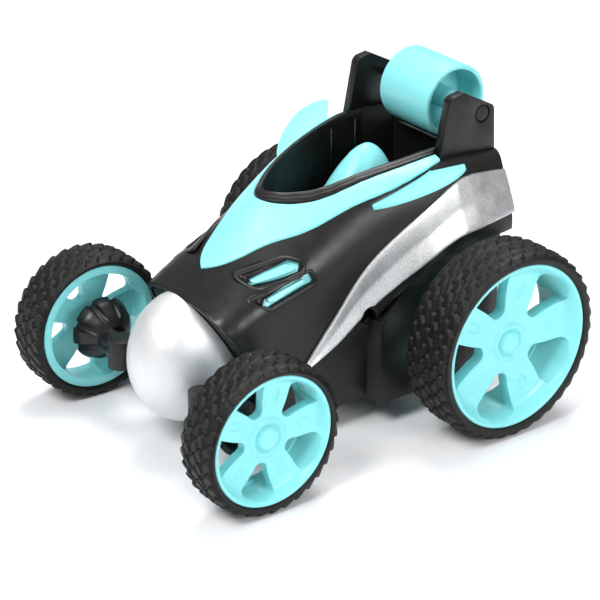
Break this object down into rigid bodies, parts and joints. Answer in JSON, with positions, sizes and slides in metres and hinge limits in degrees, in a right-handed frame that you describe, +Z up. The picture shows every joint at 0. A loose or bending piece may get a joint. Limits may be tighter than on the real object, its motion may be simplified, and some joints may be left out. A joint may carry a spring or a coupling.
{
  "type": "rc stunt car",
  "caption": "Radio-controlled stunt car with a silver egg nose, wedge body, open cockpit, side winglets, large rear wheels, small front wheels and a tumble roller on top.",
  "frame": {"origin": "on the floor, midway along the overall length and width", "axes": "+Z up, the nose points along -Y, +X is the car's left side"},
  "size_m": [0.138, 0.166, 0.1223],
  "materials": {
    "black_plastic": "satin",
    "teal_plastic": "gloss",
    "silver_paint": "metallic satin",
    "pearl_silver": "satin",
    "rubber": "matte",
    "steel": "satin",
    "white_nylon": "satin",
    "brass": "satin",
    "board_green": "satin",
    "cell_wrap": "gloss",
    "wire_red": "satin"
  },
  "bodies": {
    "car": {"upper_shell": "black_plastic", "lower_chassis": "black_plastic", "nose_bulkhead": "black_plastic", "cockpit_tub": "black_plastic", "cockpit_rim": "black_plastic", "battery_door": "black_plastic", "electronics_tray": "black_plastic", "roller_bracket_left": "black_plastic", "roller_bracket_right": "black_plastic", "front_knuckle_left": "black_plastic", "front_knuckle_right": "black_plastic", "gearbox_housing_left": "black_plastic", "gearbox_housing_right": "black_plastic", "gearbox_cover_left": "black_plastic", "gearbox_cover_right": "black_plastic", "cockpit_dome": "teal_plastic", "hood_trim": "teal_plastic", "winglet_left": "teal_plastic", "winglet_right": "teal_plastic", "vent_insert_left": "teal_plastic", "vent_insert_right": "teal_plastic", "side_panel_left": "silver_paint", "side_panel_right": "silver_paint", "nose_dome": "pearl_silver", "roller_pin": "steel", "body_screws": "steel", "door_screw": "steel", "motor_left": "steel", "motor_right": "steel", "compound_pins": "steel", "gearbox_screws": "steel", "battery_contacts": "steel", "power_switch": "steel", "rear_bushes": "brass", "circuit_board": "board_green", "battery_cells": "cell_wrap", "motor_wires": "wire_red", "antenna_wire": "wire_red"},
    "front_wheel_left": {"front_rim_left": "teal_plastic", "front_tyre_left": "rubber", "front_axle_left": "steel"},
    "rear_wheel_left": {"rear_rim_left": "teal_plastic", "rear_tyre_left": "rubber", "rear_axle_left": "steel", "output_gear_left": "white_nylon"},
    "compound_left": {"compound_gear_left": "white_nylon"},
    "rotor_left": {"motor_pinion_left": "brass", "motor_shaft_left": "steel"},
    "front_wheel_right": {"front_rim_right": "teal_plastic", "front_tyre_right": "rubber", "front_axle_right": "steel"},
    "rear_wheel_right": {"rear_rim_right": "teal_plastic", "rear_tyre_right": "rubber", "rear_axle_right": "steel", "output_gear_right": "white_nylon"},
    "compound_right": {"compound_gear_right": "white_nylon"},
    "rotor_right": {"motor_pinion_right": "brass", "motor_shaft_right": "steel"},
    "roller": {"roller": "teal_plastic"},
    "switch_slider": {"switch_slider": "black_plastic"}
  },
  "joints": [
    {"name": "front_wheel_left_spin", "type": "hinge", "parent": "car", "child": "front_wheel_left", "pos_m": [0.054, -0.055, 0.028], "axis": [1, 0, 0], "continuous": true},
    {"name": "rear_wheel_left_spin", "type": "hinge", "parent": "car", "child": "rear_wheel_left", "pos_m": [0.058, 0.047, 0.036], "axis": [1, 0, 0], "continuous": true},
    {"name": "compound_left_spin", "type": "hinge", "parent": "car", "child": "compound_left", "pos_m": [0.029, 0.03415, 0.04251], "axis": [1, 0, 0], "continuous": true},
    {"name": "rotor_left_spin", "type": "hinge", "parent": "car", "child": "rotor_left", "pos_m": [0.025, 0.0205, 0.0405], "axis": [1, 0, 0], "continuous": true},
    {"name": "front_wheel_right_spin", "type": "hinge", "parent": "car", "child": "front_wheel_right", "pos_m": [-0.054, -0.055, 0.028], "axis": [1, 0, 0], "continuous": true},
    {"name": "rear_wheel_right_spin", "type": "hinge", "parent": "car", "child": "rear_wheel_right", "pos_m": [-0.058, 0.047, 0.036], "axis": [1, 0, 0], "continuous": true},
    {"name": "compound_right_spin", "type": "hinge", "parent": "car", "child": "compound_right", "pos_m": [-0.029, 0.03415, 0.04251], "axis": [1, 0, 0], "continuous": true},
    {"name": "rotor_right_spin", "type": "hinge", "parent": "car", "child": "rotor_right", "pos_m": [-0.025, 0.0205, 0.0405], "axis": [1, 0, 0], "continuous": true},
    {"name": "roller_spin", "type": "hinge", "parent": "car", "child": "roller", "pos_m": [0, 0.061, 0.1085], "axis": [1, 0, 0], "continuous": true},
    {"name": "switch_slide", "type": "slide", "parent": "car", "child": "switch_slider", "axis": [1, 0, 0], "range_m": [0, 0.002]}
  ],
  "couplings": [
    {"joint": "compound_left_spin", "follows": "rear_wheel_left_spin", "ratio": -3},
    {"joint": "rotor_left_spin", "follows": "rear_wheel_left_spin", "ratio": 10.8},
    {"joint": "compound_right_spin", "follows": "rear_wheel_right_spin", "ratio": -3},
    {"joint": "rotor_right_spin", "follows": "rear_wheel_right_spin", "ratio": 10.8}
  ]
}
